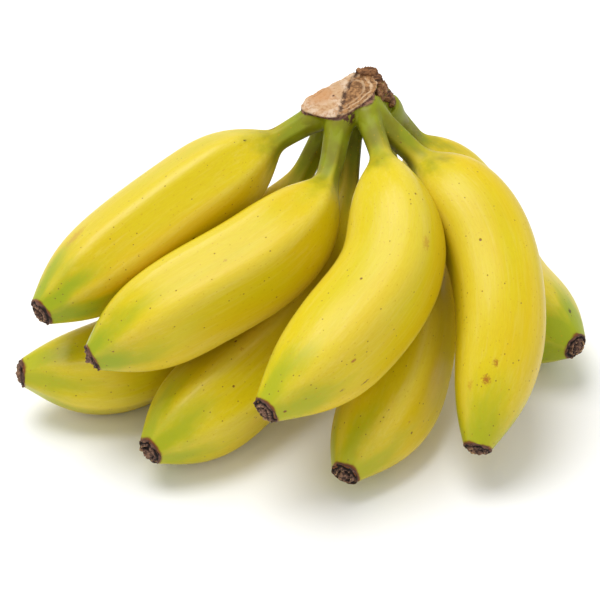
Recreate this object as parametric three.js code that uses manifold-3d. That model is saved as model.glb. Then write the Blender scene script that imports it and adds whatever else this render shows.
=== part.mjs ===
// A hand of eight short, plump bananas, still joined at the crown and lying on a flat surface.
// Millimetres, +Z up. The origin is on the surface, under the middle of the hand.

import * as THREE from 'three';
import { mergeVertices } from 'three/addons/utils/BufferGeometryUtils.js';
import Module from 'manifold-3d';

const wasm = await Module();
wasm.setup();

// Gap left between neighbours that touch.
const CLEARANCE = 0.3;

// Fingers: what all eight share. Thickness is across the belly.
const FINGER_THICKNESS = 35;
const NECK_THICKNESS = 8;
const NECK_ROOT_THICKNESS = 9.4;
const TIP_THICKNESS = 9.8;
const RIDGES = 5;
const RIDGE_SWELL = 0.02; // how far the ridges stand out, as a share of the radius
const FLARE = 1.12; // 1 leaves the neck and the tip with a corner, higher values flare more softly

// Blossom ends: the dried remnant of the flower, seated on the tip.
const BLOSSOM_THICKNESS = 9.2;
const BLOSSOM_LENGTH = 2.4;
const BLOSSOM_HOLLOW = 0.8;
const BLOSSOM_SEAT = 0.92; // the width where it meets the tip, as a share of its thickness
const BLOSSOM_BULGE = 0.4; // the height of its thickest point, as a share of its length
const BLOSSOM_LIP = 0.9; // the outer and inner edges of its lip, as shares of its thickness
const BLOSSOM_LIP_INSIDE = 0.55;

// Crown: the block of tissue that was cut from the stalk. It holds the root of every neck.
const CROWN_PLACE = { x: 14, y: 46 };
const CROWN_RISE = 84; // its middle, above the surface
const CROWN_LENGTH = 29;
const CROWN_WIDTH = 22;
const CROWN_HEIGHT = 19;
const CROWN_CLIMB = THREE.MathUtils.degToRad(9); // its cut face climbs towards +X
const CROWN_LEAN = THREE.MathUtils.degToRad(14); // and leans out towards -Y
const BLOCK_OFFSET = [-2, -2, 0]; // the block's middle, from the crown's
// The block's outline, foot to cut face: shares of half its length, and of its height from the middle.
const BLOCK_OUTLINE = [
  [0, -0.5],
  [0.6, -0.5],
  [0.84, -0.2],
  [0.93, 0.25],
  [1, 0.4],
  [0.97, 0.5],
  [0, 0.46],
];
const CALLUS = [
  { place: [7, 7, 9], size: [13, 12, 9] },
  { place: [13, 5, 6], size: [12, 10, 10] },
];

// Mesh fineness.
const FINGER_STEPS = 26;
const FINGER_SIDES = 20;
const BLOSSOM_SIDES = 10;
const CROWN_SIDES = 20;
const CALLUS_DETAIL = 1;

// The fingers, upper row first. A finger yields where it touches one that comes before it.
// Root is measured from the middle of the crown. The way is the rest of its centre line, on the
// hand's own axes: off the neck, over the shoulder, past the belly and to the tip.
// Plump is added to the thickness, neck is the neck's length, and belly is the thickest point as a
// share of the way from neck to tip. The two fullnesses say how fast each end swells.
const FINGERS = [
  { name: 'upper_1', root: [-8, -3, 2], way: [[-15, 34, 77], [-39, 19, 66], [-64, 1, 55], [-88, -22, 48]],
    plump: -2, neck: 18, belly: 0.51, shoulderFullness: 4.7, tipFullness: 2.8 },
  { name: 'upper_2', root: [-1, -7, 3], way: [[7, 18, 72], [-12, -7, 62], [-40, -24, 53], [-70, -38, 41]],
    plump: 1, neck: 24, belly: 0.54, shoulderFullness: 3.8, tipFullness: 3.2 },
  { name: 'upper_3', root: [8, -8, 7], way: [[29, 15, 76], [30, -13, 61], [13, -40, 50], [-12, -66, 41]],
    plump: 0, neck: 21, belly: 0.57, shoulderFullness: 4.3, tipFullness: 2.9 },
  { name: 'upper_4', root: [10, -3, 2], way: [[43, 32, 72], [62, 8, 60], [67, -23, 42], [58, -56, 17]],
    plump: -3, neck: 24, belly: 0.48, shoulderFullness: 5.8, tipFullness: 3.9 },
  { name: 'lower_1', root: [-4, 3, -5], way: [[-7, 36, 53], [-32, 16, 31], [-61, -9, 17], [-97, -18, 19]],
    plump: 0, neck: 21, belly: 0.61, shoulderFullness: 3.1, tipFullness: 3.6 },
  { name: 'lower_2', root: [3, 3, -4], way: [[14, 29, 54], [0, 3, 32], [-24, -25, 19], [-51, -54, 14]],
    plump: 0, neck: 22, belly: 0.63, shoulderFullness: 2.7, tipFullness: 3.7 },
  { name: 'lower_3', root: [11, 5, 0], way: [[32, 37, 58], [37, 9, 35], [31, -26, 19], [14, -62, 11]],
    plump: 0, neck: 21, belly: 0.58, shoulderFullness: 3, tipFullness: 3.3 },
  { name: 'lower_4', root: [16, 7, -3], way: [[44, 60, 59], [59, 53, 35], [73, 29, 19], [96, 0, 17]],
    plump: 1, neck: 21, belly: 0.53, shoulderFullness: 5.1, tipFullness: 4.2 },
];

const peel = { color: 0xd9c62c, roughness: 0.42, metalness: 0 };
const driedFlower = { color: 0x3f2a20, roughness: 0.85, metalness: 0 };
const cutTissue = { color: 0xb08a62, roughness: 0.8, metalness: 0 };

const crownMiddle = new THREE.Vector3(CROWN_PLACE.x, CROWN_PLACE.y, CROWN_RISE);

function toSolid(geometry) {
  geometry.deleteAttribute('normal');
  geometry.deleteAttribute('uv');
  const merged = mergeVertices(geometry);
  const mesh = new wasm.Mesh({
    numProp: 3,
    vertProperties: new Float32Array(merged.attributes.position.array),
    triVerts: new Uint32Array(merged.index.array),
  });
  return new wasm.Manifold(mesh);
}

function toGeometry(solid) {
  const mesh = solid.getMesh();
  const geometry = new THREE.BufferGeometry();
  geometry.setAttribute('position', new THREE.BufferAttribute(mesh.vertProperties, 3));
  geometry.setIndex(new THREE.BufferAttribute(mesh.triVerts, 1));
  return geometry;
}

function centreLine(finger) {
  const root = crownMiddle.clone().add(new THREE.Vector3(...finger.root));
  const way = finger.way.map((place) => new THREE.Vector3(...place));
  return new THREE.CatmullRomCurve3([root, ...way]);
}

// Rises from 0 to 1, softly at first, and levels out sooner for a high fullness.
function swell(share, fullness) {
  return 1 - (1 - share ** FLARE) ** fullness;
}

// Radius of a finger at a distance along its centre line.
function fingerRadius(finger, length, distance) {
  const belly = (FINGER_THICKNESS + finger.plump) / 2;
  const neck = NECK_THICKNESS / 2;
  const tip = TIP_THICKNESS / 2;
  const bellyAt = finger.neck + finger.belly * (length - finger.neck);
  if (distance < finger.neck) {
    const share = (1 - distance / finger.neck) ** 2;
    return neck + (NECK_ROOT_THICKNESS / 2 - neck) * share;
  }
  if (distance < bellyAt) {
    const share = (distance - finger.neck) / (bellyAt - finger.neck);
    return neck + (belly - neck) * swell(share, finger.shoulderFullness);
  }
  const share = (length - distance) / (length - bellyAt);
  return tip + (belly - tip) * swell(share, finger.tipFullness);
}

// Bends a solid turned about +Y so that +Y follows the curve, and goes straight on past its ends.
function bendAlong(geometry, curve, steps) {
  const length = curve.getLength();
  const frames = curve.computeFrenetFrames(steps);
  const position = geometry.attributes.position;
  const vertex = new THREE.Vector3();
  for (let i = 0; i < position.count; i += 1) {
    vertex.fromBufferAttribute(position, i);
    const distance = THREE.MathUtils.clamp(vertex.y, 0, length);
    const step = Math.round((distance / length) * steps);
    const ridge = 1 + RIDGE_SWELL * Math.cos(RIDGES * Math.atan2(vertex.z, vertex.x));
    const place = curve.getPointAt(distance / length)
      .addScaledVector(frames.tangents[step], vertex.y - distance)
      .addScaledVector(frames.normals[step], vertex.x * ridge)
      .addScaledVector(frames.binormals[step], -vertex.z * ridge);
    position.setXYZ(i, place.x, place.y, place.z);
  }
  return geometry;
}

// A whole finger from root to tip. Grow makes it thicker and longer all round.
function fingerSolid(finger, grow) {
  const curve = centreLine(finger);
  const length = curve.getLength();
  const profile = [new THREE.Vector2(0, -grow)];
  for (let step = 0; step <= FINGER_STEPS; step += 1) {
    const distance = (step / FINGER_STEPS) * length;
    const end = step === 0 ? -grow : step === FINGER_STEPS ? grow : 0;
    profile.push(new THREE.Vector2(fingerRadius(finger, length, distance) + grow, distance + end));
  }
  profile.push(new THREE.Vector2(0, length + grow));
  return toSolid(bendAlong(new THREE.LatheGeometry(profile, FINGER_SIDES), curve, FINGER_STEPS));
}

// A short stub with a dished end, seated on the finger's tip.
function blossomSolid(finger) {
  const curve = centreLine(finger);
  const start = curve.getLength() + CLEARANCE;
  const radius = BLOSSOM_THICKNESS / 2;
  const profile = [
    [0, 0],
    [radius * BLOSSOM_SEAT, 0],
    [radius, BLOSSOM_LENGTH * BLOSSOM_BULGE],
    [radius * BLOSSOM_LIP, BLOSSOM_LENGTH],
    [radius * BLOSSOM_LIP_INSIDE, BLOSSOM_LENGTH],
    [0, BLOSSOM_LENGTH - BLOSSOM_HOLLOW],
  ].map(([across, along]) => new THREE.Vector2(across, start + along));
  return toSolid(bendAlong(new THREE.LatheGeometry(profile, BLOSSOM_SIDES), curve, FINGER_STEPS));
}

// The woody block with its callus, before the necks take their room in it.
function crownBlock() {
  const profile = BLOCK_OUTLINE.map(([across, up]) => new THREE.Vector2(across, up));
  const block = new THREE.LatheGeometry(profile, CROWN_SIDES);
  block.scale(CROWN_LENGTH / 2, CROWN_HEIGHT, CROWN_WIDTH / 2);
  block.rotateX(Math.PI / 2 + CROWN_LEAN);
  block.rotateY(-CROWN_CLIMB);
  block.translate(...BLOCK_OFFSET);
  let solid = toSolid(block);
  for (const lump of CALLUS) {
    const ball = new THREE.IcosahedronGeometry(0.5, CALLUS_DETAIL);
    ball.scale(...lump.size);
    ball.translate(...lump.place);
    solid = solid.add(toSolid(ball));
  }
  return solid.translate(crownMiddle.toArray());
}

function addPiece(group, name, solid, finish) {
  const mesh = new THREE.Mesh(toGeometry(solid), new THREE.MeshStandardMaterial(finish));
  mesh.name = name;
  group.add(mesh);
}

const hand = new THREE.Group();
const roomTaken = [];
let crown = crownBlock();

for (const finger of FINGERS) {
  const room = fingerSolid(finger, CLEARANCE);
  const solid = roomTaken.reduce((left, taken) => left.subtract(taken), fingerSolid(finger, 0));
  addPiece(hand, `finger_${finger.name}`, solid, peel);
  addPiece(hand, `blossom_${finger.name}`, blossomSolid(finger), driedFlower);
  crown = crown.subtract(room);
  roomTaken.push(room);
}
addPiece(hand, 'crown', crown, cutTissue);

// Stand the hand on the surface, with the origin under the middle of its box.
const box = new THREE.Box3().setFromObject(hand);
const middle = box.getCenter(new THREE.Vector3());
hand.position.set(-middle.x, -middle.y, -box.min.z);

export default hand;
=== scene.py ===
"""A hand of eight short, plump bananas, lying on a pale floor in soft light."""

import bisect
import math

import bmesh
import bpy
from mathutils import Matrix, Vector, geometry, noise


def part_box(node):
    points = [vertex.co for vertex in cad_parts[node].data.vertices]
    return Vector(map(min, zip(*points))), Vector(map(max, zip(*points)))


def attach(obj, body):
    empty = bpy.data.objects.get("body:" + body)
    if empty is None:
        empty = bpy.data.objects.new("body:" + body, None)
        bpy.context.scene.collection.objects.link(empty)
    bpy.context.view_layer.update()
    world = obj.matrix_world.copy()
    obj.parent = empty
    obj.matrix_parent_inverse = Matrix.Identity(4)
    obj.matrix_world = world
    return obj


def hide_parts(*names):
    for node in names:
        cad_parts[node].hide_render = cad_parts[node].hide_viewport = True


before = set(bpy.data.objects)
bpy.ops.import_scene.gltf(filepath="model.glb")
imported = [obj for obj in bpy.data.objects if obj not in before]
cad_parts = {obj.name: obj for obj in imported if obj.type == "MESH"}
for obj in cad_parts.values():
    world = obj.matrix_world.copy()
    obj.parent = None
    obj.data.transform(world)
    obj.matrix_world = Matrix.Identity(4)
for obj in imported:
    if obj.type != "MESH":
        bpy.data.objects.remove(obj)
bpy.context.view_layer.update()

MM = 0.001

# ---------------------------------------------------------------- the hand's layout, in millimetres

CROWN_MIDDLE = Vector((14, 46, 84))

# The same centre lines as the CAD model's fingers: root from the crown's middle, the way on the
# hand's own axes. Only upper_3's root is sunk deeper, under the edge of the cut face. Plump, neck,
# belly, shoulder and end shape the finger's thickness. Face is the angle round the finger of the
# middle of one flat, and wide is how much wider that flat is than the others, both in degrees.
# Greening is how green the finger still is at its tip and between its ridges. Marks are places
# where the skin is blemished: distance along, angle round in degrees, length, width and tint.
FINGERS = {
    "upper_1": dict(
        root=(-8, -3, 2), way=[(-15, 34, 77), (-39, 19, 66), (-64, 1, 55), (-88, -22, 48)],
        plump=-1.5, neck=18, belly=0.51, shoulder=4.7, end=3.4, face=226, wide=-12, greening=0.8,
        marks=[(29, 248, 0.7, 0.6, "dark"), (22, 264, 3.5, 0.25, "rust"), (17, 300, 1.6, 0.5, "plum"),
               (98, 290, 7, 2.5, "bruise"), (86, 236, 0.6, 0.5, "dark")]),
    "upper_2": dict(
        root=(-1, -7, 3), way=[(7, 18, 72), (-12, -7, 62), (-40, -24, 53), (-70, -38, 41)],
        plump=1, neck=24, belly=0.54, shoulder=3.8, end=3.8, face=265, wide=-12, greening=0.8,
        marks=[(87, 232, 0.8, 0.6, "plum"), (81, 232, 0.9, 0.6, "plum"), (58, 232, 2.6, 0.3, "plum"),
               (78, 257, 1.0, 0.8, "rust"), (122, 227, 1.8, 0.35, "plum")]),
    "upper_3": dict(
        root=(8, -3.5, 3.8), way=[(29, 15, 76), (30, -13, 61), (13, -40, 50), (-12, -66, 41)],
        plump=0, neck=21, belly=0.57, shoulder=5.0, end=2.9, face=295, wide=15, greening=0.6,
        marks=[(106, 191, 4.5, 0.35, "plum"), (106, 231, 1.2, 0.6, "rust"), (113, 202, 1.4, 0.7, "plum"),
               (60, 240, 2.5, 1.8, "bruise"), (52, 250, 0.6, 0.5, "rust"), (99, 249, 4.5, 0.25, "rust")]),
    "upper_4": dict(
        root=(10, -3, 2), way=[(43, 32, 72), (62, 8, 60), (67, -23, 42), (58, -56, 17)],
        plump=-3, neck=23, belly=0.48, shoulder=5.8, end=3.9, face=294, wide=18, greening=0.6,
        marks=[(118, 308, 1.8, 1.7, "rust"), (112, 300, 1.7, 1.3, "rust"), (120, 332, 2.2, 1.2, "bruise"),
               (91, 9, 1.1, 0.8, "plum"), (80, 338, 16, 0.4, "bruise"), (55, 243, 2.2, 0.3, "plum")]),
    "lower_1": dict(
        root=(-4, 3, -5), way=[(-7, 36, 53), (-32, 16, 31), (-61, -9, 17), (-97, -18, 19)],
        plump=0, neck=21, belly=0.61, shoulder=3.1, end=3.6, face=197, wide=-15, greening=0.55,
        marks=[(128, 250, 1.0, 0.6, "rust")]),
    "lower_2": dict(
        root=(3, 3, -4), way=[(14, 29, 54), (0, 3, 32), (-24, -25, 19), (-51, -54, 14)],
        plump=0, neck=22, belly=0.63, shoulder=2.7, end=3.7, face=248, wide=-10, greening=0.65,
        marks=[(105, 276, 1.6, 1.0, "rust")]),
    "lower_3": dict(
        root=(11, 5, 0), way=[(32, 37, 58), (37, 9, 35), (31, -26, 19), (14, -62, 11)],
        plump=0, neck=21, belly=0.58, shoulder=3.0, end=3.3, face=294, wide=0, greening=0.55,
        marks=[(124, 236, 0.8, 0.6, "rust")]),
    "lower_4": dict(
        root=(16, 7, -3), way=[(44, 60, 59), (59, 53, 35), (73, 29, 19), (96, 0, 17)],
        plump=1, neck=21, belly=0.53, shoulder=5.1, end=4.2, face=306, wide=0, greening=1.0,
        marks=[(119, 315, 1.2, 1.0, "dark")]),
}

FINGER_THICKNESS = 35
NECK_THICKNESS = 8
NECK_ROOT_THICKNESS = 10
TIP_THICKNESS = 9.8
FLARE = 1.12  # 1 leaves the neck and the tip with a corner, higher values flare more softly
RIDGES = 5
# How far the skin is pulled from a circle towards a pentagon, on the belly and at both ends, and
# the lengths over which one gives way to the other past the neck and before the tip.
BODY_ANGULARITY = 0.72
END_ANGULARITY = 0.62
SHOULDER_FADE = 22
TIP_FADE = 34
PENTAGON_MEAN = 0.868  # a pentagon's mean radius, as a share of its corners'
# The skin wavers by this share of the radius, over lengths of about this many millimetres.
WAVER = 0.02
WAVER_LENGTH = 26

LINE_SAMPLES = 60
FINGER_SIDES = 30
FINGER_RINGS = 40
TIP_EDGE_RINGS = (1.2, 0.4)  # two more rings, this far before the tip, keep its edge crisp
FINE_LEVELS = 2


# ---------------------------------------------------------------- centre lines

def smooth_line(points, samples):
    """Points along a centripetal Catmull-Rom curve. Its first and last points only steer it."""
    line = [points[1]]
    for before, start, finish, after in zip(points, points[1:], points[2:], points[3:]):
        back, here, ahead = (
            math.sqrt((second - first).length)
            for first, second in ((before, start), (start, finish), (finish, after))
        )
        chord = (finish - start) / here
        leave = here * (chord + (start - before) / back - (finish - before) / (back + here))
        arrive = here * (chord + (after - finish) / ahead - (after - start) / (here + ahead))
        handles = (start + leave / 3, finish - arrive / 3)
        line += geometry.interpolate_bezier(start, *handles, finish, samples)[1:]
    return line


class CentreLine:
    """A finger's bent axis, measured by distance from its root, with a frame that never twists."""

    def __init__(self, finger):
        points = [CROWN_MIDDLE + Vector(finger["root"])] + [Vector(place) for place in finger["way"]]
        before_root = points[0] * 2 - points[1]
        past_tip = points[-1] * 2 - points[-2]
        self.points = smooth_line([before_root, *points, past_tip], LINE_SAMPLES)
        self.last = len(self.points) - 1
        self.distances = [0.0]
        for before, after in zip(self.points, self.points[1:]):
            self.distances.append(self.distances[-1] + (after - before).length)
        self.length = self.distances[-1]
        self.tangents = [
            (self.points[min(i + 1, self.last)] - self.points[max(i - 1, 0)]).normalized()
            for i in range(self.last + 1)
        ]
        side = self.tangents[0].cross(Vector((0, 0, 1))).normalized()
        self.sides = [side]
        for before, after in zip(self.tangents, self.tangents[1:]):
            side = before.rotation_difference(after) @ side
            self.sides.append(side)

    def frame_at(self, distance):
        """The matrix that stands a flat ring on the axis, with its +Z along the axis."""
        inside = min(max(distance, 0.0), self.length)
        index = min(bisect.bisect_right(self.distances, inside), self.last) - 1
        step = self.distances[index + 1] - self.distances[index]
        share = (inside - self.distances[index]) / step
        tangent = self.tangents[index].lerp(self.tangents[index + 1], share).normalized()
        side = self.sides[index].lerp(self.sides[index + 1], share).normalized()
        other = tangent.cross(side)
        place = self.points[index].lerp(self.points[index + 1], share) + tangent * (distance - inside)
        turn = Matrix((side, other, tangent)).transposed().to_4x4()
        return Matrix.Translation(place) @ turn


def swell(share, fullness):
    """Rises from 0 to 1, softly at first, and levels out sooner for a high fullness."""
    return 1 - (1 - min(max(share, 0.0), 1.0) ** FLARE) ** fullness


def soft_step(low, high, value):
    """0 below low and 1 above high, softly between."""
    share = min(max((value - low) / (high - low), 0.0), 1.0)
    return share * share * (3 - 2 * share)


def finger_radius(finger, length, distance):
    """A finger's mean radius at a distance along its centre line."""
    belly = (FINGER_THICKNESS + finger["plump"]) / 2
    neck = NECK_THICKNESS / 2
    tip = TIP_THICKNESS / 2
    belly_at = finger["neck"] + finger["belly"] * (length - finger["neck"])
    if distance < finger["neck"]:
        share = (1 - distance / finger["neck"]) ** 2
        return neck + (NECK_ROOT_THICKNESS / 2 - neck) * share
    if distance < belly_at:
        share = (distance - finger["neck"]) / (belly_at - finger["neck"])
        return neck + (belly - neck) * swell(share, finger["shoulder"])
    share = (length - distance) / (length - belly_at)
    return tip + (belly - tip) * swell(share, finger["end"])


def facet(angle, angularity):
    """How far out the skin stands at an angle from a ridge: a circle pulled towards a pentagon."""
    sector = 2 * math.pi / RIDGES
    off_flat = (angle % sector) - sector / 2
    pentagon = math.cos(sector / 2) / math.cos(off_flat)
    return 1 + angularity * (pentagon / PENTAGON_MEAN - 1)


def round_angle(finger, from_ridge):
    """The angle round the finger of a point so far past a ridge, when one flat is wider."""
    from_face = from_ridge + math.pi / RIDGES
    return math.radians(finger["face"]) + from_face + math.radians(finger["wide"]) * math.sin(from_face)


# ---------------------------------------------------------------- meshes

def shift_from_cad():
    """Where the CAD model stands the layout: the middle of its blossom ends against the layout's."""
    total = Vector()
    for name, finger in FINGERS.items():
        low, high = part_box(f"blossom_{name}")
        line = CentreLine(finger)
        seat = line.frame_at(line.length + CLEARANCE + BLOSSOM_LENGTH / 2).translation
        total += (Vector(low) + Vector(high)) / 2 / MM - seat
    return total / len(FINGERS)


def new_piece(name, bm, material, node):
    """Finishes a bmesh made in millimetres on the layout's axes as a piece of the object."""
    bmesh.ops.translate(bm, verts=bm.verts, vec=SHIFT)
    bmesh.ops.scale(bm, verts=bm.verts, vec=(MM, MM, MM))
    bmesh.ops.recalc_face_normals(bm, faces=bm.faces)
    mesh = bpy.data.meshes.new(name)
    bm.to_mesh(mesh)
    bm.free()
    for face in mesh.polygons:
        face.use_smooth = True
    piece = bpy.data.objects.new(name, mesh)
    bpy.context.scene.collection.objects.link(piece)
    piece.data.materials.append(material)
    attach(piece, "root")
    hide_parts(node)
    return piece


def refine(piece):
    subdivision = piece.modifiers.new("fine skin", "SUBSURF")
    subdivision.levels = FINE_LEVELS
    subdivision.render_levels = FINE_LEVELS


def ring_edges(ring):
    """The edges that join the vertices of a ring to each other."""
    wanted = set(ring)
    around = dict.fromkeys(edge for vertex in ring for edge in vertex.link_edges)
    return [edge for edge in around if set(edge.verts) <= wanted]


def next_ring(bm, ring, radius, height):
    """Extrudes an upright tube's open ring to a new radius and height."""
    made = bmesh.ops.extrude_edge_only(bm, edges=ring_edges(ring))["geom"]
    fresh = [part for part in made if isinstance(part, bmesh.types.BMVert)]
    now = fresh[0].co.xy.length
    bmesh.ops.scale(bm, verts=fresh, vec=(radius / now, radius / now, 1))
    bmesh.ops.translate(bm, verts=fresh, vec=(0, 0, height - fresh[0].co.z))
    return fresh


def upright_finger(finger, length):
    """A finger as a round, straight, closed tube that stands on its root, as a bmesh."""
    bm = bmesh.new()
    heights = [length * step / FINGER_RINGS for step in range(FINGER_RINGS + 1)]
    for before in TIP_EDGE_RINGS:
        heights.insert(-1, length - before)
    root = finger_radius(finger, length, 0)
    ring = bmesh.ops.create_circle(bm, segments=FINGER_SIDES, radius=root / 2)["verts"]
    bmesh.ops.contextual_create(bm, geom=ring)
    for height in heights:
        ring = next_ring(bm, ring, finger_radius(finger, length, height), height)
    ring = next_ring(bm, ring, TIP_THICKNESS / 4, length + 0.2)
    bmesh.ops.contextual_create(bm, geom=ring)
    return bm


def finger_piece(index, name, finger):
    """A finger with its neck: a tube given its flats, then bent along its centre line.

    Its attributes tell the peel where it is: "straight" on the unbent finger, and "ends" the
    distances from the crown and from the tip, with 1 on a ridge and -1 between ridges.
    """
    line = CentreLine(finger)
    bm = upright_finger(finger, line.length)
    straight = bm.verts.layers.float_vector.new("straight")
    ends = bm.verts.layers.float_vector.new("ends")
    frames = {}
    for vertex in bm.verts:
        height = vertex.co.z
        key = round(height, 3)
        if key not in frames:
            frames[key] = line.frame_at(height)
        from_ridge = math.atan2(vertex.co.y, vertex.co.x)
        angle = round_angle(finger, from_ridge)
        radius = vertex.co.xy.length
        in_body = soft_step(finger["neck"] * 0.8, finger["neck"] + SHOULDER_FADE, height)
        in_body *= soft_step(2, TIP_FADE, line.length - height)
        angularity = END_ANGULARITY + (BODY_ANGULARITY - END_ANGULARITY) * in_body
        outwards = Vector((math.cos(angle), math.sin(angle), 0))
        waver = noise.noise(outwards + Vector((0, 0, height / WAVER_LENGTH + 7 * index)))
        across = radius * facet(from_ridge, angularity) * (1 + WAVER * waver)
        flat = outwards * across
        vertex[straight] = (flat.x * MM, flat.y * MM, height * MM + index)
        vertex[ends] = (height * MM, (line.length - height) * MM, math.cos(RIDGES * from_ridge))
        vertex.co = frames[key] @ flat
        vertex.co.z = max(vertex.co.z, -SHIFT.z)
    peel = peel_material(name, index, finger, line.length)
    refine(new_piece(f"banana_{name}", bm, peel, f"finger_{name}"))


BLOSSOM_THICKNESS = 9.4
BLOSSOM_LENGTH = 2.4
CLEARANCE = 0.3  # what the CAD model leaves between a finger's tip and its blossom end
BLOSSOM_DOME = 1.1  # how much higher the stub's middle stands than its lip
BLOSSOM_SIDES = 36

# The stub's outline, base to middle: shares of its radius, and heights above the finger's tip. The
# low lip, a curled ring and the knob in the middle are parted by two grooves, coloured near black as
# painted shade.
BLOSSOM_OUTLINE = [
    (0.60, -0.9), (0.94, -0.9), (1.02, -0.4), (1.04, 0.0), (1.02, 0.3), (0.97, 0.45),
    (0.92, 0.4), (0.86, 0.1), (0.80, 0.2), (0.72, 0.9), (0.64, 1.3), (0.57, 1.2),
    (0.50, 0.7), (0.44, 0.7), (0.36, 1.3), (0.28, 1.8), (0.20, 1.9), (0.12, 1.7),
]


def blossom_piece(index, name, finger, material):
    """The dried flower remnant: a ragged lip around curled rings that rise towards the middle.

    Its attribute "rise" holds each place's share of the radius and its height above the dome.
    """
    line = CentreLine(finger)
    radius = BLOSSOM_THICKNESS / 2
    bm = bmesh.new()
    ring = bmesh.ops.create_circle(bm, segments=BLOSSOM_SIDES, radius=radius * 0.3)["verts"]
    bmesh.ops.translate(bm, verts=ring, vec=(0, 0, BLOSSOM_OUTLINE[0][1]))
    bmesh.ops.contextual_create(bm, geom=ring)
    for share, height in BLOSSOM_OUTLINE:
        ring = next_ring(bm, ring, radius * share, height)
    bmesh.ops.contextual_create(bm, geom=ring)
    rise = bm.verts.layers.float_vector.new("rise")
    for vertex in bm.verts:
        share = vertex.co.xy.length / radius
        seed = Vector((vertex.co.x * 0.5, vertex.co.y * 0.5, 13 * index))
        coarse = noise.noise(seed)
        fine = noise.noise(seed * 3.1)
        free = soft_step(-0.4, 0.4, vertex.co.z)
        level = vertex.co.z + (0.9 * coarse + 0.9 * fine) * free
        sway = 0.13 * noise.noise(seed * 1.2 + Vector((5, 5, 5))) + 0.08 * fine
        lean = 1 + sway * (0.25 + 0.75 * free)
        corner = facet(round_angle(finger, math.atan2(vertex.co.y, vertex.co.x)), 0.35)
        vertex[rise] = (share, level - BLOSSOM_DOME * (1 - share), 0)
        flat = Vector((vertex.co.x * lean * corner, vertex.co.y * lean * corner, level))
        vertex.co = line.frame_at(line.length) @ flat
    refine(new_piece(f"blossom_end_{name}", bm, material, f"blossom_{name}"))


# ---------------------------------------------------------------- crown

# The cut face: its edge seen from above, its height above the crown's middle, and how far it
# rises for each millimetre along X and Y.
CUT_EDGE = [
    (-14.8, -4.1), (-10.8, -8.2), (-4.6, -11.3), (0.6, -10.6), (5.8, -7.1), (11.0, -1.5),
    (12.0, 3.5), (9.0, 9.0), (5.4, 10.8), (-0.9, 7.6), (-8.0, 3.8), (-12.9, 0.2),
]
CUT_MIDDLE = Vector((-1, -1))
CUT_RISE = 9
CUT_SLOPE = 0.17
EDGE_SAMPLES = 7
PAST_EDGE = 40  # further from the middle than any part of the edge
# A crack runs across the face from front to back, and leans over more behind this place on Y.
CRACK_BEND = 0.5
CRACK_SLOPE_IN_FRONT = 0.18
CRACK_SLOPE_BEHIND = 0.43
# The block under the face, top to bottom: level below it, and share of its width.
BLOCK_LEVELS = [
    (0, 0.985), (-0.4, 1.0), (-1.2, 0.985), (-2.6, 0.9), (-5, 0.74), (-9, 0.56), (-13, 0.4),
]
# The callus: dried lumps down the right side, each with its place and size.
CALLUS = [
    ((8.4, 9.4, 12.0), (5.5, 5, 3.0)), ((6.2, 10.2, 11.7), (3, 3, 2.2)),
    ((10.8, 8.2, 12.1), (3.5, 4.5, 3.4)), ((12.3, 6.2, 10.3), (3.4, 6, 4.2)),
    ((13.9, 5.2, 7.8), (4.0, 6, 4.6)), ((15.5, 4.8, 5.0), (4.2, 6, 4.6)),
    ((17.0, 5.0, 2.6), (3.4, 6, 3.6)), ((12.6, 3.2, 6.0), (4.2, 6, 6.5)),
    ((11.6, 7.2, 11.2), (3.2, 4.5, 3.6)),
]
# The stubs of the necks, which the crown's skin holds together.
STUB_REACH = 13
STUB_FLARE = 1.5
STUB_SUNK = 0.35
STUB_SIDES = 24
STUB_BELOW_FACE = 1.2
# The skin's fineness, and how far it stands up or sinks in: on the callus, over the face, and in
# the step where tissue has crumbled beside the crack.
SKIN_VOXEL = 0.42
SKIN_SMOOTHING = 3
CALLUS_ROUGHNESS = 0.5
FACE_WAVER = 0.45
FACE_GRAIN = 0.22
STEP_DEPTH = 1.1
STEP_WIDTH = 2.2


def cut_height(place):
    """How high the cut face lies, above the crown's middle."""
    return CUT_RISE + CUT_SLOPE * (place.x + place.y)


def edge_share(place):
    """How far out on the cut face a place is: 0 in the middle, 1 at its edge."""
    off = place.xy - CUT_MIDDLE
    corners = [Vector(corner) for corner in CUT_EDGE]
    far = CUT_MIDDLE + off.normalized() * PAST_EDGE
    for first, second in zip(corners, corners[1:] + corners[:1]):
        crossing = geometry.intersect_line_line_2d(CUT_MIDDLE, far, first, second)
        if crossing:
            return off.length / (crossing - CUT_MIDDLE).length
    return 0.0


def along_crack(place):
    """How far right of the crack across the cut face a place is."""
    slope = CRACK_SLOPE_BEHIND if place.y > CRACK_BEND else CRACK_SLOPE_IN_FRONT
    return place.x - slope * (place.y - CRACK_BEND)


def stub_radius(finger, length, distance):
    past_root = max(distance, 0)
    flare = max(1 - past_root / STUB_REACH, 0) ** 2
    return finger_radius(finger, length, past_root) + STUB_FLARE * flare - STUB_SUNK


def add_neck_stub(bm, finger):
    """The root of a neck, flared where it joins the block and sinking into the finger further out."""
    line = CentreLine(finger)
    first, *others = range(-3, STUB_REACH + 1, 2)
    radius = stub_radius(finger, line.length, first)
    ring = bmesh.ops.create_circle(bm, segments=STUB_SIDES, radius=radius)["verts"]
    bmesh.ops.translate(bm, verts=ring, vec=(0, 0, first))
    bmesh.ops.contextual_create(bm, geom=ring)
    stub = list(ring)
    for height in others:
        ring = next_ring(bm, ring, stub_radius(finger, line.length, height), height)
        stub += ring
    bmesh.ops.contextual_create(bm, geom=ring)
    for vertex in stub:
        vertex.co = line.frame_at(vertex.co.z) @ Vector((vertex.co.x, vertex.co.y, 0))
        place = vertex.co - CROWN_MIDDLE
        vertex.co.z = CROWN_MIDDLE.z + min(place.z, cut_height(place) - STUB_BELOW_FACE)


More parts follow.
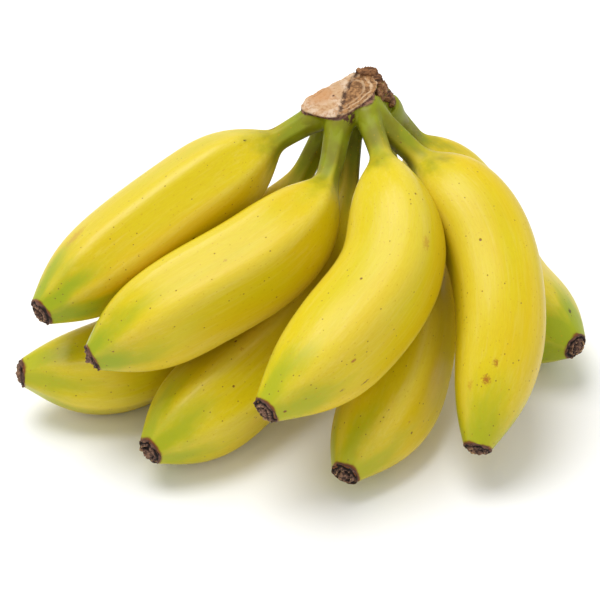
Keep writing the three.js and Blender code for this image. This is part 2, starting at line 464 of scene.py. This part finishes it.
def add_block(bm):
    """The slab of cut tissue, narrowing downwards among the necks."""
    edge = [Vector((x, y, 0)) for x, y in CUT_EDGE]
    closed = smooth_line([edge[-1], *edge, edge[0], edge[1]], EDGE_SAMPLES)[:-1]
    ring = [bm.verts.new(place) for place in closed]
    for first, second in zip(ring, ring[1:] + ring[:1]):
        bm.edges.new((first, second))
    middle = CUT_MIDDLE.to_3d()
    bmesh.ops.contextual_create(bm, geom=ring)
    rings = [ring]
    for _ in BLOCK_LEVELS[1:]:
        made = bmesh.ops.extrude_edge_only(bm, edges=ring_edges(rings[-1]))["geom"]
        rings.append([part for part in made if isinstance(part, bmesh.types.BMVert)])
    bmesh.ops.contextual_create(bm, geom=rings[-1])
    for (level, share), verts in zip(BLOCK_LEVELS, rings):
        for vertex in verts:
            place = middle + (vertex.co - middle) * share
            vertex.co = CROWN_MIDDLE + Vector((place.x, place.y, cut_height(place) + level))


def add_callus_lump(bm, place, size):
    ball = bmesh.ops.create_icosphere(bm, subdivisions=3, radius=0.5)["verts"]
    bmesh.ops.scale(bm, verts=ball, vec=size)
    bmesh.ops.translate(bm, verts=ball, vec=CROWN_MIDDLE + Vector(place))


def one_skin(bm):
    """One closed, smoothed skin around everything in the bmesh, as a new bmesh."""
    bmesh.ops.recalc_face_normals(bm, faces=bm.faces)
    mesh = bpy.data.meshes.new("crown_blocks")
    bm.to_mesh(mesh)
    bm.free()
    block = bpy.data.objects.new("crown_blocks", mesh)
    bpy.context.scene.collection.objects.link(block)
    skin = block.modifiers.new("one skin", "REMESH")
    skin.mode = "VOXEL"
    skin.voxel_size = SKIN_VOXEL
    result = bmesh.new()
    result.from_object(block, bpy.context.evaluated_depsgraph_get())
    bpy.data.objects.remove(block)
    bpy.data.meshes.remove(mesh)
    every_way = dict(use_axis_x=True, use_axis_y=True, use_axis_z=True)
    for _ in range(SKIN_SMOOTHING):
        bmesh.ops.smooth_vert(result, verts=result.verts, factor=0.5, **every_way)
    return result


def callus_depth(place):
    """How deep inside the callus a place is: 1 in the middle of a lump, 0 on its skin."""
    depths = []
    for middle, size in CALLUS:
        off = place - Vector(middle)
        depths.append(1 - Vector((off.x / size[0], off.y / size[1], off.z / size[2])).length * 2)
    return max(depths)


def crown_piece():
    """The fused neck roots under a slab of cut tissue, with the callus on its right.

    Its attribute "cut" holds each place's height above the cut face, its distance right of the
    crack and whether it is callus. "Outward" holds how far out on the cut face it is.
    """
    bm = bmesh.new()
    add_block(bm)
    for finger in FINGERS.values():
        add_neck_stub(bm, finger)
    for place, size in CALLUS:
        add_callus_lump(bm, place, size)
    bm = one_skin(bm)
    cut = bm.verts.layers.float_vector.new("cut")
    outward = bm.verts.layers.float_vector.new("outward")
    bm.normal_update()
    moves = []
    for vertex in bm.verts:
        place = vertex.co - CROWN_MIDDLE
        coarse = noise.noise(vertex.co * 0.35)
        ragged = noise.noise(vertex.co * 0.9 + Vector((3, 1, 4)))
        fine = noise.noise(vertex.co * 2.1)
        level = place.z - cut_height(place)
        crack = along_crack(place) + 0.5 * ragged
        lump = soft_step(-0.18, 0.04, callus_depth(place) + 0.12 * ragged)
        on_face = soft_step(-1.2, -0.3, level) * (1 - lump)
        wrinkle = 0.8 - 2.4 * abs(noise.noise(vertex.co * 0.45)) + 1.1 * fine
        step = math.exp(-crack / STEP_WIDTH) if crack > 0 else 0.0
        step *= soft_step(-7, -2, place.y)
        depth = CALLUS_ROUGHNESS * lump * wrinkle
        depth += on_face * (FACE_WAVER * coarse + FACE_GRAIN * fine - STEP_DEPTH * step)
        vertex[cut] = (level, crack, lump)
        vertex[outward] = (edge_share(place), 0, 0)
        moves.append((vertex, vertex.normal * depth))
    for vertex, move in moves:
        vertex.co += move
    new_piece("cut_crown", bm, crown_material(), "crown")


# ---------------------------------------------------------------- materials

class Shader:
    """A material's node tree, with short ways to add and join nodes."""

    def __init__(self, name):
        self.material = bpy.data.materials.new(name)
        self.material.use_nodes = True
        self.tree = self.material.node_tree
        self.surface = self.tree.nodes["Principled BSDF"]

    def add(self, kind, settings=None, **inputs):
        made = self.tree.nodes.new(kind)
        for key, value in (settings or {}).items():
            setattr(made, key, value)
        for key, value in inputs.items():
            self.feed(made.inputs[key.replace("_", " ")], value)
        return made

    def feed(self, socket, value):
        if isinstance(value, bpy.types.NodeSocket):
            self.tree.links.new(value, socket)
        else:
            socket.default_value = value

    def math(self, operation, first, second=0.0):
        made = self.tree.nodes.new("ShaderNodeMath")
        made.operation = operation
        for socket, value in zip(made.inputs, (first, second)):
            self.feed(socket, value)
        return made.outputs[0]

    def attribute(self, name):
        return self.add("ShaderNodeAttribute", dict(attribute_name=name)).outputs["Vector"]

    def parts(self, vector):
        return self.add("ShaderNodeSeparateXYZ", Vector=vector).outputs

    def stretched(self, vector, scale):
        return self.add("ShaderNodeMapping", Vector=vector, Scale=scale).outputs[0]

    def noise(self, vector, scale, detail=2.0, roughness=0.5):
        """Cloudy noise around 0.5, with about so many clouds to a metre as its scale."""
        made = self.add("ShaderNodeTexNoise", Vector=vector, Scale=scale, Detail=detail,
                        Roughness=roughness)
        return made.outputs["Fac"]

    def window(self, value, low, high):
        """0 below low and 1 above high, softly between. Low above high turns it round."""
        made = self.add("ShaderNodeMapRange", dict(interpolation_type="SMOOTHSTEP"), Value=value)
        if low < high:
            ends = (low, high, 0.0, 1.0)
        else:
            ends = (high, low, 1.0, 0.0)
        for key, end in zip(("From Min", "From Max", "To Min", "To Max"), ends):
            made.inputs[key].default_value = end
        return made.outputs[0]

    def blend(self, share, first, second):
        """The first colour where the share is 0, the second where it is 1."""
        made = self.add("ShaderNodeMix", dict(data_type="RGBA"))
        sockets = (made.inputs[0], made.inputs[6], made.inputs[7])
        for socket, value in zip(sockets, (share, first, second)):
            self.feed(socket, (*value, 1.0) if isinstance(value, tuple) else value)
        return made.outputs[2]

    def finish(self, color, roughness, height=None, depth=0.0, **constants):
        self.feed(self.surface.inputs["Base Color"], color)
        self.feed(self.surface.inputs["Roughness"], roughness)
        if height is not None:
            bump = self.add("ShaderNodeBump", Height=height, Distance=depth)
            self.feed(self.surface.inputs["Normal"], bump.outputs[0])
        for key, value in constants.items():
            self.surface.inputs[key.replace("_", " ")].default_value = value
        return self.material


YELLOW = (0.68, 0.535, 0.003)
WARM_YELLOW = (0.68, 0.485, 0.002)
PALE_YELLOW = (0.78, 0.66, 0.20)
LIME = (0.52, 0.49, 0.004)
TIP_GREEN = (0.33, 0.385, 0.005)
NECK_GREEN = (0.25, 0.28, 0.004)
NECK_OLIVE = (0.205, 0.195, 0.004)
SPECK_BROWN = (0.19, 0.055, 0.006)
PORE = (0.55, 0.33, 0.004)
# The tints of the blemishes, each with how strongly it covers the skin.
TINTS = {
    "dark": ((0.05, 0.018, 0.008), 0.95),
    "plum": ((0.17, 0.035, 0.016), 0.85),
    "rust": ((0.36, 0.105, 0.008), 0.85),
    "bruise": ((0.52, 0.24, 0.010), 0.55),
}
# Small marks: the pitch that they are scattered at and their size, both in metres.
PORES = (0.0012, 0.00045)
FINE_SPECKS = (0.0016, 0.00048)
LARGE_SPECKS = (0.0055, 0.00095)
RIDGE_DASHES = (0.0018, 0.0008)


def speckle(s, straight, pitch, size, share, flow):
    """Spots in a share of the cells of that pitch, drawn out along the skin when flow is low."""
    cells = s.add("ShaderNodeTexVoronoi", Vector=s.stretched(straight, (1, 1, flow)), Scale=1 / pitch)
    chosen = s.math("LESS_THAN", s.parts(cells.outputs["Color"])[0], share)
    edge = size / pitch / 2
    return s.math("MULTIPLY", s.window(cells.outputs["Distance"], edge * 1.3, edge * 0.6), chosen)


def blemish(s, straight, index, finger, length, mark):
    """A patch with a ragged edge at a mark's place on the unbent skin."""
    along, degrees, long_way, wide_way, _ = mark
    radius = finger_radius(finger, length, along)
    angle = math.radians(degrees)
    middle = Vector((radius * math.cos(angle), radius * math.sin(angle), along)) * MM
    middle.z += index
    scale = Vector((1 / wide_way, 1 / wide_way, 1 / long_way)) / MM
    centred = s.add("ShaderNodeMapping", Vector=straight, Scale=scale,
                    Location=[-place * size for place, size in zip(middle, scale)])
    away = s.add("ShaderNodeVectorMath", dict(operation="LENGTH"), Vector=centred.outputs[0])
    ragged = s.math("MULTIPLY", s.noise(straight, 1500, 3, 0.7), 2.2)
    return s.window(s.math("ADD", away.outputs["Value"], ragged), 2.3, 1.4)


def neck_color(s, place):
    """The green of the necks, the same on the fingers and on the crown they grow out of."""
    cloud = s.noise(place, 130, 3)
    return s.blend(s.window(cloud, 0.38, 0.66), NECK_GREEN, NECK_OLIVE)


def ripe_peel(s, straight, ridge, cloud):
    """Yellow in two warmths, paler on the ridges and in streaks, with a fine darker fibre."""
    streak = s.noise(s.stretched(straight, (1, 1, 0.06)), 800, 3, 0.6)
    fibre = s.noise(s.stretched(straight, (1, 1, 0.16)), 2600, 2, 0.6)
    color = s.blend(s.window(cloud, 0.40, 0.66), YELLOW, WARM_YELLOW)
    color = s.blend(s.math("MULTIPLY", s.window(ridge, 0.1, 1.0), 0.14), color, PALE_YELLOW)
    color = s.blend(s.math("MULTIPLY", s.window(streak, 0.45, 0.75), 0.15), color, PALE_YELLOW)
    return s.blend(s.math("MULTIPLY", s.window(fibre, 0.40, 0.70), 0.16), color, PORE)


def greened(s, color, straight, wander, finger):
    """Green stays longest between the ridges, at the tip and up the neck."""
    place = s.add("ShaderNodeTexCoord").outputs["Object"]
    from_crown, from_tip, ridge = s.parts(s.attribute("ends"))
    patch = s.noise(s.stretched(straight, (1, 1, 0.3)), 60, 2)
    hollow = s.math("MULTIPLY", s.window(ridge, 0.7, -0.9), s.window(patch, 0.40, 0.66))
    color = s.blend(s.math("MULTIPLY", hollow, 0.38 * finger["greening"]), color, LIME)
    reach = s.math("ADD", s.math("ADD", from_tip, wander), s.math("MULTIPLY", ridge, 0.006))
    tip_share = s.math("MULTIPLY", s.window(reach, 0.026, -0.002), 1.3 * finger["greening"])
    color = s.blend(s.math("MINIMUM", tip_share, 1.0), color, TIP_GREEN)
    neck_end = finger["neck"] * MM
    fade = s.math("ADD", s.math("ADD", from_crown, wander), s.math("MULTIPLY", ridge, 0.002))
    return s.blend(s.window(fade, neck_end + 0.014, neck_end - 0.008), color, neck_color(s, place))


def specks(s, straight, from_tip, ridge):
    """Fine specks all over, more towards the tip, larger ones here and there, dashes on ridges."""
    crowded = s.window(from_tip, 0.050, 0.008)
    fine_share = s.math("ADD", 0.10, s.math("MULTIPLY", crowded, 0.18))
    fine = speckle(s, straight, *FINE_SPECKS, fine_share, 0.8)
    large = speckle(s, straight, *LARGE_SPECKS, 0.07, 0.8)
    dash = speckle(s, straight, *RIDGE_DASHES, 0.40, 0.45)
    patchy = s.window(s.noise(straight, 45, 1), 0.54, 0.62)
    dash = s.math("MULTIPLY", s.math("MULTIPLY", dash, s.window(ridge, 0.93, 0.985)), patchy)
    mark = s.math("MAXIMUM", s.math("MULTIPLY", fine, 0.7), s.math("MULTIPLY", large, 0.9))
    return s.math("MAXIMUM", mark, s.math("MULTIPLY", dash, 0.7))


def peel_material(name, index, finger, length):
    s = Shader(f"peel_{name}")
    straight = s.attribute("straight")
    from_crown, from_tip, ridge = s.parts(s.attribute("ends"))
    cloud = s.noise(s.stretched(straight, (1, 1, 0.45)), 45, 3)
    wander = s.math("SUBTRACT", s.noise(s.stretched(straight, (1, 1, 0.12)), 160, 3), 0.5)
    wander = s.math("MULTIPLY", wander, 0.030)
    color = greened(s, ripe_peel(s, straight, ridge, cloud), straight, wander, finger)

    pores = speckle(s, straight, *PORES, 0.30, 0.8)
    color = s.blend(s.math("MULTIPLY", pores, 0.6), color, PORE)
    stain = s.window(s.noise(s.stretched(straight, (1, 1, 0.5)), 80, 4, 0.7), 0.66, 0.82)
    color = s.blend(s.math("MULTIPLY", stain, 0.30), color, TINTS["bruise"][0])
    speck = specks(s, straight, from_tip, ridge)
    color = s.blend(speck, color, SPECK_BROWN)
    for mark in finger["marks"]:
        tint, strength = TINTS[mark[-1]]
        patch = blemish(s, straight, index, finger, length, mark)
        color = s.blend(s.math("MULTIPLY", patch, strength), color, tint)

    # The skin dries brown where it meets the blossom end.
    rim = s.window(s.math("ADD", from_tip, s.math("MULTIPLY", wander, 0.08)), 0.0009, 0.0001)
    color = s.blend(rim, color, SPECK_BROWN)

    # The necks are duller than the belly, and specks are sunk in.
    skin = s.noise(s.stretched(straight, (1, 1, 0.15)), 900, 2)
    height = s.math("ADD", s.math("MULTIPLY", skin, 0.5), s.math("MULTIPLY", speck, -1.0))
    roughness = s.math("ADD", 0.27, s.math("MULTIPLY", cloud, 0.14))
    neck = s.window(from_crown, 0.034, 0.018)
    roughness = s.math("ADD", roughness, s.math("MULTIPLY", neck, 0.22))
    return s.finish(color, roughness, height, 0.00010, Specular_IOR_Level=0.30,
                    Subsurface_Weight=0.08, Subsurface_Radius=(0.004, 0.0028, 0.0006),
                    Subsurface_Scale=1.0)


DRIED_DARK = (0.050, 0.026, 0.020)
DRIED_BROWN = (0.20, 0.105, 0.070)
DRIED_SIDE = (0.16, 0.070, 0.045)
# Painted shade for the stub's grooves.
GROOVE_SHADE = (0.014, 0.007, 0.005)
CREST_BROWN = (0.36, 0.20, 0.12)
CURL_TAN = (0.62, 0.38, 0.17)


def blossom_material():
    s = Shader("dried_flower")
    place = s.add("ShaderNodeTexCoord").outputs["Object"]
    share, level, _ = s.parts(s.attribute("rise"))
    grain = s.noise(place, 1300, 4, 0.65)
    color = s.blend(s.window(grain, 0.35, 0.7), DRIED_DARK, DRIED_BROWN)
    # Painted shade: the low grooves between the rings are coloured near black.
    color = s.blend(s.window(level, 0.55, 0.10), color, GROOVE_SHADE)
    crest = s.math("MULTIPLY", s.window(level, 0.60, 0.95), s.window(grain, 0.42, 0.56))
    curl = s.window(s.math("ABSOLUTE", s.math("SUBTRACT", share, 0.56)), 0.12, 0.04)
    color = s.blend(s.math("MULTIPLY", crest, 0.55), color, CREST_BROWN)
    color = s.blend(s.math("MULTIPLY", crest, s.math("MULTIPLY", curl, 0.8)), color, CURL_TAN)
    outside = s.window(share, 0.97, 1.03)
    color = s.blend(s.math("MULTIPLY", outside, 0.7), color, DRIED_SIDE)
    return s.finish(color, 0.8, grain, 0.0004, Specular_IOR_Level=0.3)


PALE_TISSUE = (0.67, 0.50, 0.35)
TAN_TISSUE = (0.56, 0.35, 0.185)
TISSUE_SPOT = (0.43, 0.21, 0.085)
WARM_TISSUE = (0.53, 0.26, 0.10)
PIT_BROWN = (0.10, 0.04, 0.02)
LAYER_BROWN = (0.42, 0.215, 0.085)
LAYER_DARK = (0.16, 0.072, 0.025)
LAYER_PALE = (0.73, 0.51, 0.31)
CRACK_BLACK = (0.07, 0.035, 0.022)
RIM_DARK = (0.085, 0.035, 0.025)
RIM_BROWN = (0.30, 0.145, 0.085)
# Painted shade in the gap where the two middle necks part.
PARTING_SHADE = (0.07, 0.024, 0.008)
CALLUS_DARK = (0.055, 0.022, 0.010)
CALLUS_BROWN = (0.28, 0.122, 0.045)
CALLUS_PALE = (0.56, 0.32, 0.155)

# Places on the crown, from its middle: a warmer patch and a pit on the pale side of the cut face,
# and where the two middle necks part below its edge, with painted shade in the gap.
WARM_PATCH = (-8, 1, 8)
PIT = (-3.3, -0.9, 8.3)
PARTING = (1.6, -10.2, 5.6)


def away_from(s, place, middle):
    """Millimetres from a place on the crown."""
    there = s.add("ShaderNodeVectorMath", dict(operation="DISTANCE"), Vector=place)
    there.inputs[1].default_value = (CROWN_MIDDLE + SHIFT + Vector(middle)) * MM
    return s.math("MULTIPLY", there.outputs["Value"], 1 / MM)


def pale_tissue(s, place, cloud, spots):
    color = s.blend(s.window(cloud, 0.36, 0.66), PALE_TISSUE, TAN_TISSUE)
    color = s.blend(s.math("MULTIPLY", s.window(spots, 0.47, 0.62), 0.7), color, TISSUE_SPOT)
    warm = s.math("ADD", away_from(s, place, WARM_PATCH), s.math("MULTIPLY", cloud, 10))
    color = s.blend(s.math("MULTIPLY", s.window(warm, 12, 7), 0.8), color, WARM_TISSUE)
    return s.blend(s.window(away_from(s, place, PIT), 0.6, 0.3), color, PIT_BROWN)


def layered_tissue(s, outward, cloud, spots):
    """Brown tissue with pale layers that follow the edge. Also returns the layers' share."""
    rings = s.math("ADD", s.math("MULTIPLY", outward, 34), s.math("MULTIPLY", cloud, 9))
    layers = s.window(s.math("SINE", rings), -0.2, 0.9)
    outer = s.math("MULTIPLY", s.window(outward, 0.45, 0.85), s.window(spots, 0.30, 0.55))
    layers = s.math("MULTIPLY", layers, outer)
    color = s.blend(s.window(spots, 0.36, 0.64), LAYER_BROWN, LAYER_DARK)
    return s.blend(s.math("MULTIPLY", layers, 0.75), color, LAYER_PALE), layers


def crack_share(s, crack, cloud, spots):
    """The dark line of the crack, broken where the tissue bridges it."""
    line = s.math("MULTIPLY", s.window(crack, -0.4, 0.3), s.window(crack, 2.0, 0.7))
    broken = s.window(s.math("ADD", spots, s.math("MULTIPLY", cloud, 0.5)), 0.58, 0.82)
    return s.math("MULTIPLY", s.math("MULTIPLY", line, broken), 0.9)


def callus_tissue(s, place):
    """Dark folds with paler crests, drawn out along the way down to the necks. Also their height."""
    folds = s.add("ShaderNodeMapping", Vector=place, Rotation=(0, math.radians(55), 0),
                  Scale=(0.4, 1, 1)).outputs[0]
    fold = s.noise(folds, 700, 4, 0.65)
    color = s.blend(s.window(fold, 0.34, 0.60), CALLUS_DARK, CALLUS_BROWN)
    return s.blend(s.math("MULTIPLY", s.window(fold, 0.56, 0.72), 0.85), color, CALLUS_PALE), fold


def crown_material():
    s = Shader("crown_tissue")
    place = s.add("ShaderNodeTexCoord").outputs["Object"]
    level, crack, lump = s.parts(s.attribute("cut"))
    outward = s.parts(s.attribute("outward"))[0]
    cloud = s.noise(place, 220, 4, 0.6)
    spots = s.noise(place, 650, 3, 0.6)
    grain = s.noise(place, 1600, 3, 0.65)

    # The cut face is pale on the left of the crack and layered on its right.
    brown, layers = layered_tissue(s, outward, cloud, spots)
    face = s.blend(s.window(crack, -0.3, 1.1), pale_tissue(s, place, cloud, spots), brown)
    face = s.blend(crack_share(s, crack, cloud, spots), face, CRACK_BLACK)

    # Its dark rim is thin. Below it, where the two middle necks part, a ragged patch of painted shade
    # darkens the necks.
    rim_level = s.math("ADD", level, s.math("MULTIPLY", s.math("SUBTRACT", cloud, 0.5), 0.5))
    rim = s.blend(s.window(spots, 0.4, 0.62), RIM_DARK, RIM_BROWN)
    wood = s.blend(s.window(rim_level, -0.75, -0.35), rim, face)
    shade_at_parting = s.window(away_from(s, place, PARTING), 3.8, 2.0)
    ragged = s.math("MULTIPLY", shade_at_parting, s.window(s.noise(place, 430, 4, 0.7), 0.47, 0.52))
    necks = s.blend(ragged, neck_color(s, place), PARTING_SHADE)
    color = s.blend(s.window(rim_level, -1.45, -1.15), necks, wood)

    callus, fold = callus_tissue(s, place)
    color = s.blend(s.window(lump, 0.3, 0.6), color, callus)
    dry = s.window(rim_level, -1.6, -1.1)
    roughness = s.math("ADD", 0.42, s.math("MULTIPLY", dry, 0.38))
    height = s.math("ADD", s.math("MULTIPLY", grain, 0.6), s.math("MULTIPLY", layers, 0.5))
    height = s.math("ADD", height, s.math("MULTIPLY", s.math("MULTIPLY", fold, lump), 1.2))
    height = s.math("MULTIPLY", height, s.math("MAXIMUM", dry, lump))
    return s.finish(color, roughness, height, 0.00035, Specular_IOR_Level=0.28)


# ---------------------------------------------------------------- stage

FLOOR_HALF_WIDTH = 3
FLOOR_WHITES = (0.955, 0.955, 0.955), (0.965, 0.965, 0.965)


def floor():
    bm = bmesh.new()
    bmesh.ops.create_grid(bm, x_segments=1, y_segments=1, size=FLOOR_HALF_WIDTH)
    mesh = bpy.data.meshes.new("floor")
    bm.to_mesh(mesh)
    bm.free()
    ground = bpy.data.objects.new("floor", mesh)
    bpy.context.scene.collection.objects.link(ground)
    s = Shader("floor_paper")
    place = s.add("ShaderNodeTexCoord").outputs["Object"]
    s.finish(s.blend(s.noise(place, 3), *FLOOR_WHITES), 0.9, Specular_IOR_Level=0.0)
    ground.data.materials.append(s.material)


def light_from(name, place, size, power):
    lamp = bpy.data.lights.new(name, "AREA")
    lamp.shape = "DISK"
    lamp.size = size
    lamp.energy = power
    holder = bpy.data.objects.new(name, lamp)
    holder.location = place
    holder.rotation_euler = (Vector(LIGHT_AIM) - Vector(place)).to_track_quat("-Z", "Y").to_euler()
    bpy.context.scene.collection.objects.link(holder)


# The lamps, each with its place, width and power. They aim at the middle of the hand.
SOFTBOX = ((-0.42, 0.26, 1.75), 1.4, 25)
FILL = ((0.7, -0.9, 0.7), 0.9, 0.8)
LIGHT_AIM = (0, 0, 0.03)
SKY_COLOR = (0.98, 0.99, 1, 1)
SKY_STRENGTH = 0.67

CAMERA_AIM = Vector((-1, -4, 40))
CAMERA_HEIGHT_ANGLE = math.radians(36)
CAMERA_DISTANCE = 0.78
CAMERA_LENS = 135.7
CAMERA_SENSOR = 36


def studio():
    scene = bpy.context.scene
    scene.view_settings.view_transform = "Standard"
    world = bpy.data.worlds.new("studio")
    scene.world = world
    world.use_nodes = True
    sky = world.node_tree.nodes["Background"]
    sky.inputs["Color"].default_value = SKY_COLOR
    sky.inputs["Strength"].default_value = SKY_STRENGTH
    light_from("softbox", *SOFTBOX)
    light_from("fill", *FILL)
    camera = bpy.data.objects.new("camera", bpy.data.cameras.new("camera"))
    camera.data.lens = CAMERA_LENS
    camera.data.sensor_width = CAMERA_SENSOR
    look = Vector((0, math.cos(CAMERA_HEIGHT_ANGLE), -math.sin(CAMERA_HEIGHT_ANGLE)))
    camera.location = (CAMERA_AIM + SHIFT) * MM - look * CAMERA_DISTANCE
    camera.rotation_euler = look.to_track_quat("-Z", "Y").to_euler()
    scene.collection.objects.link(camera)
    scene.camera = camera


# ---------------------------------------------------------------- putting it together

SHIFT = shift_from_cad()

studio()
floor()
crown_piece()
dried = blossom_material()
for number, (name, finger) in enumerate(FINGERS.items()):
    finger_piece(number, name, finger)
    blossom_piece(number, name, finger, dried)
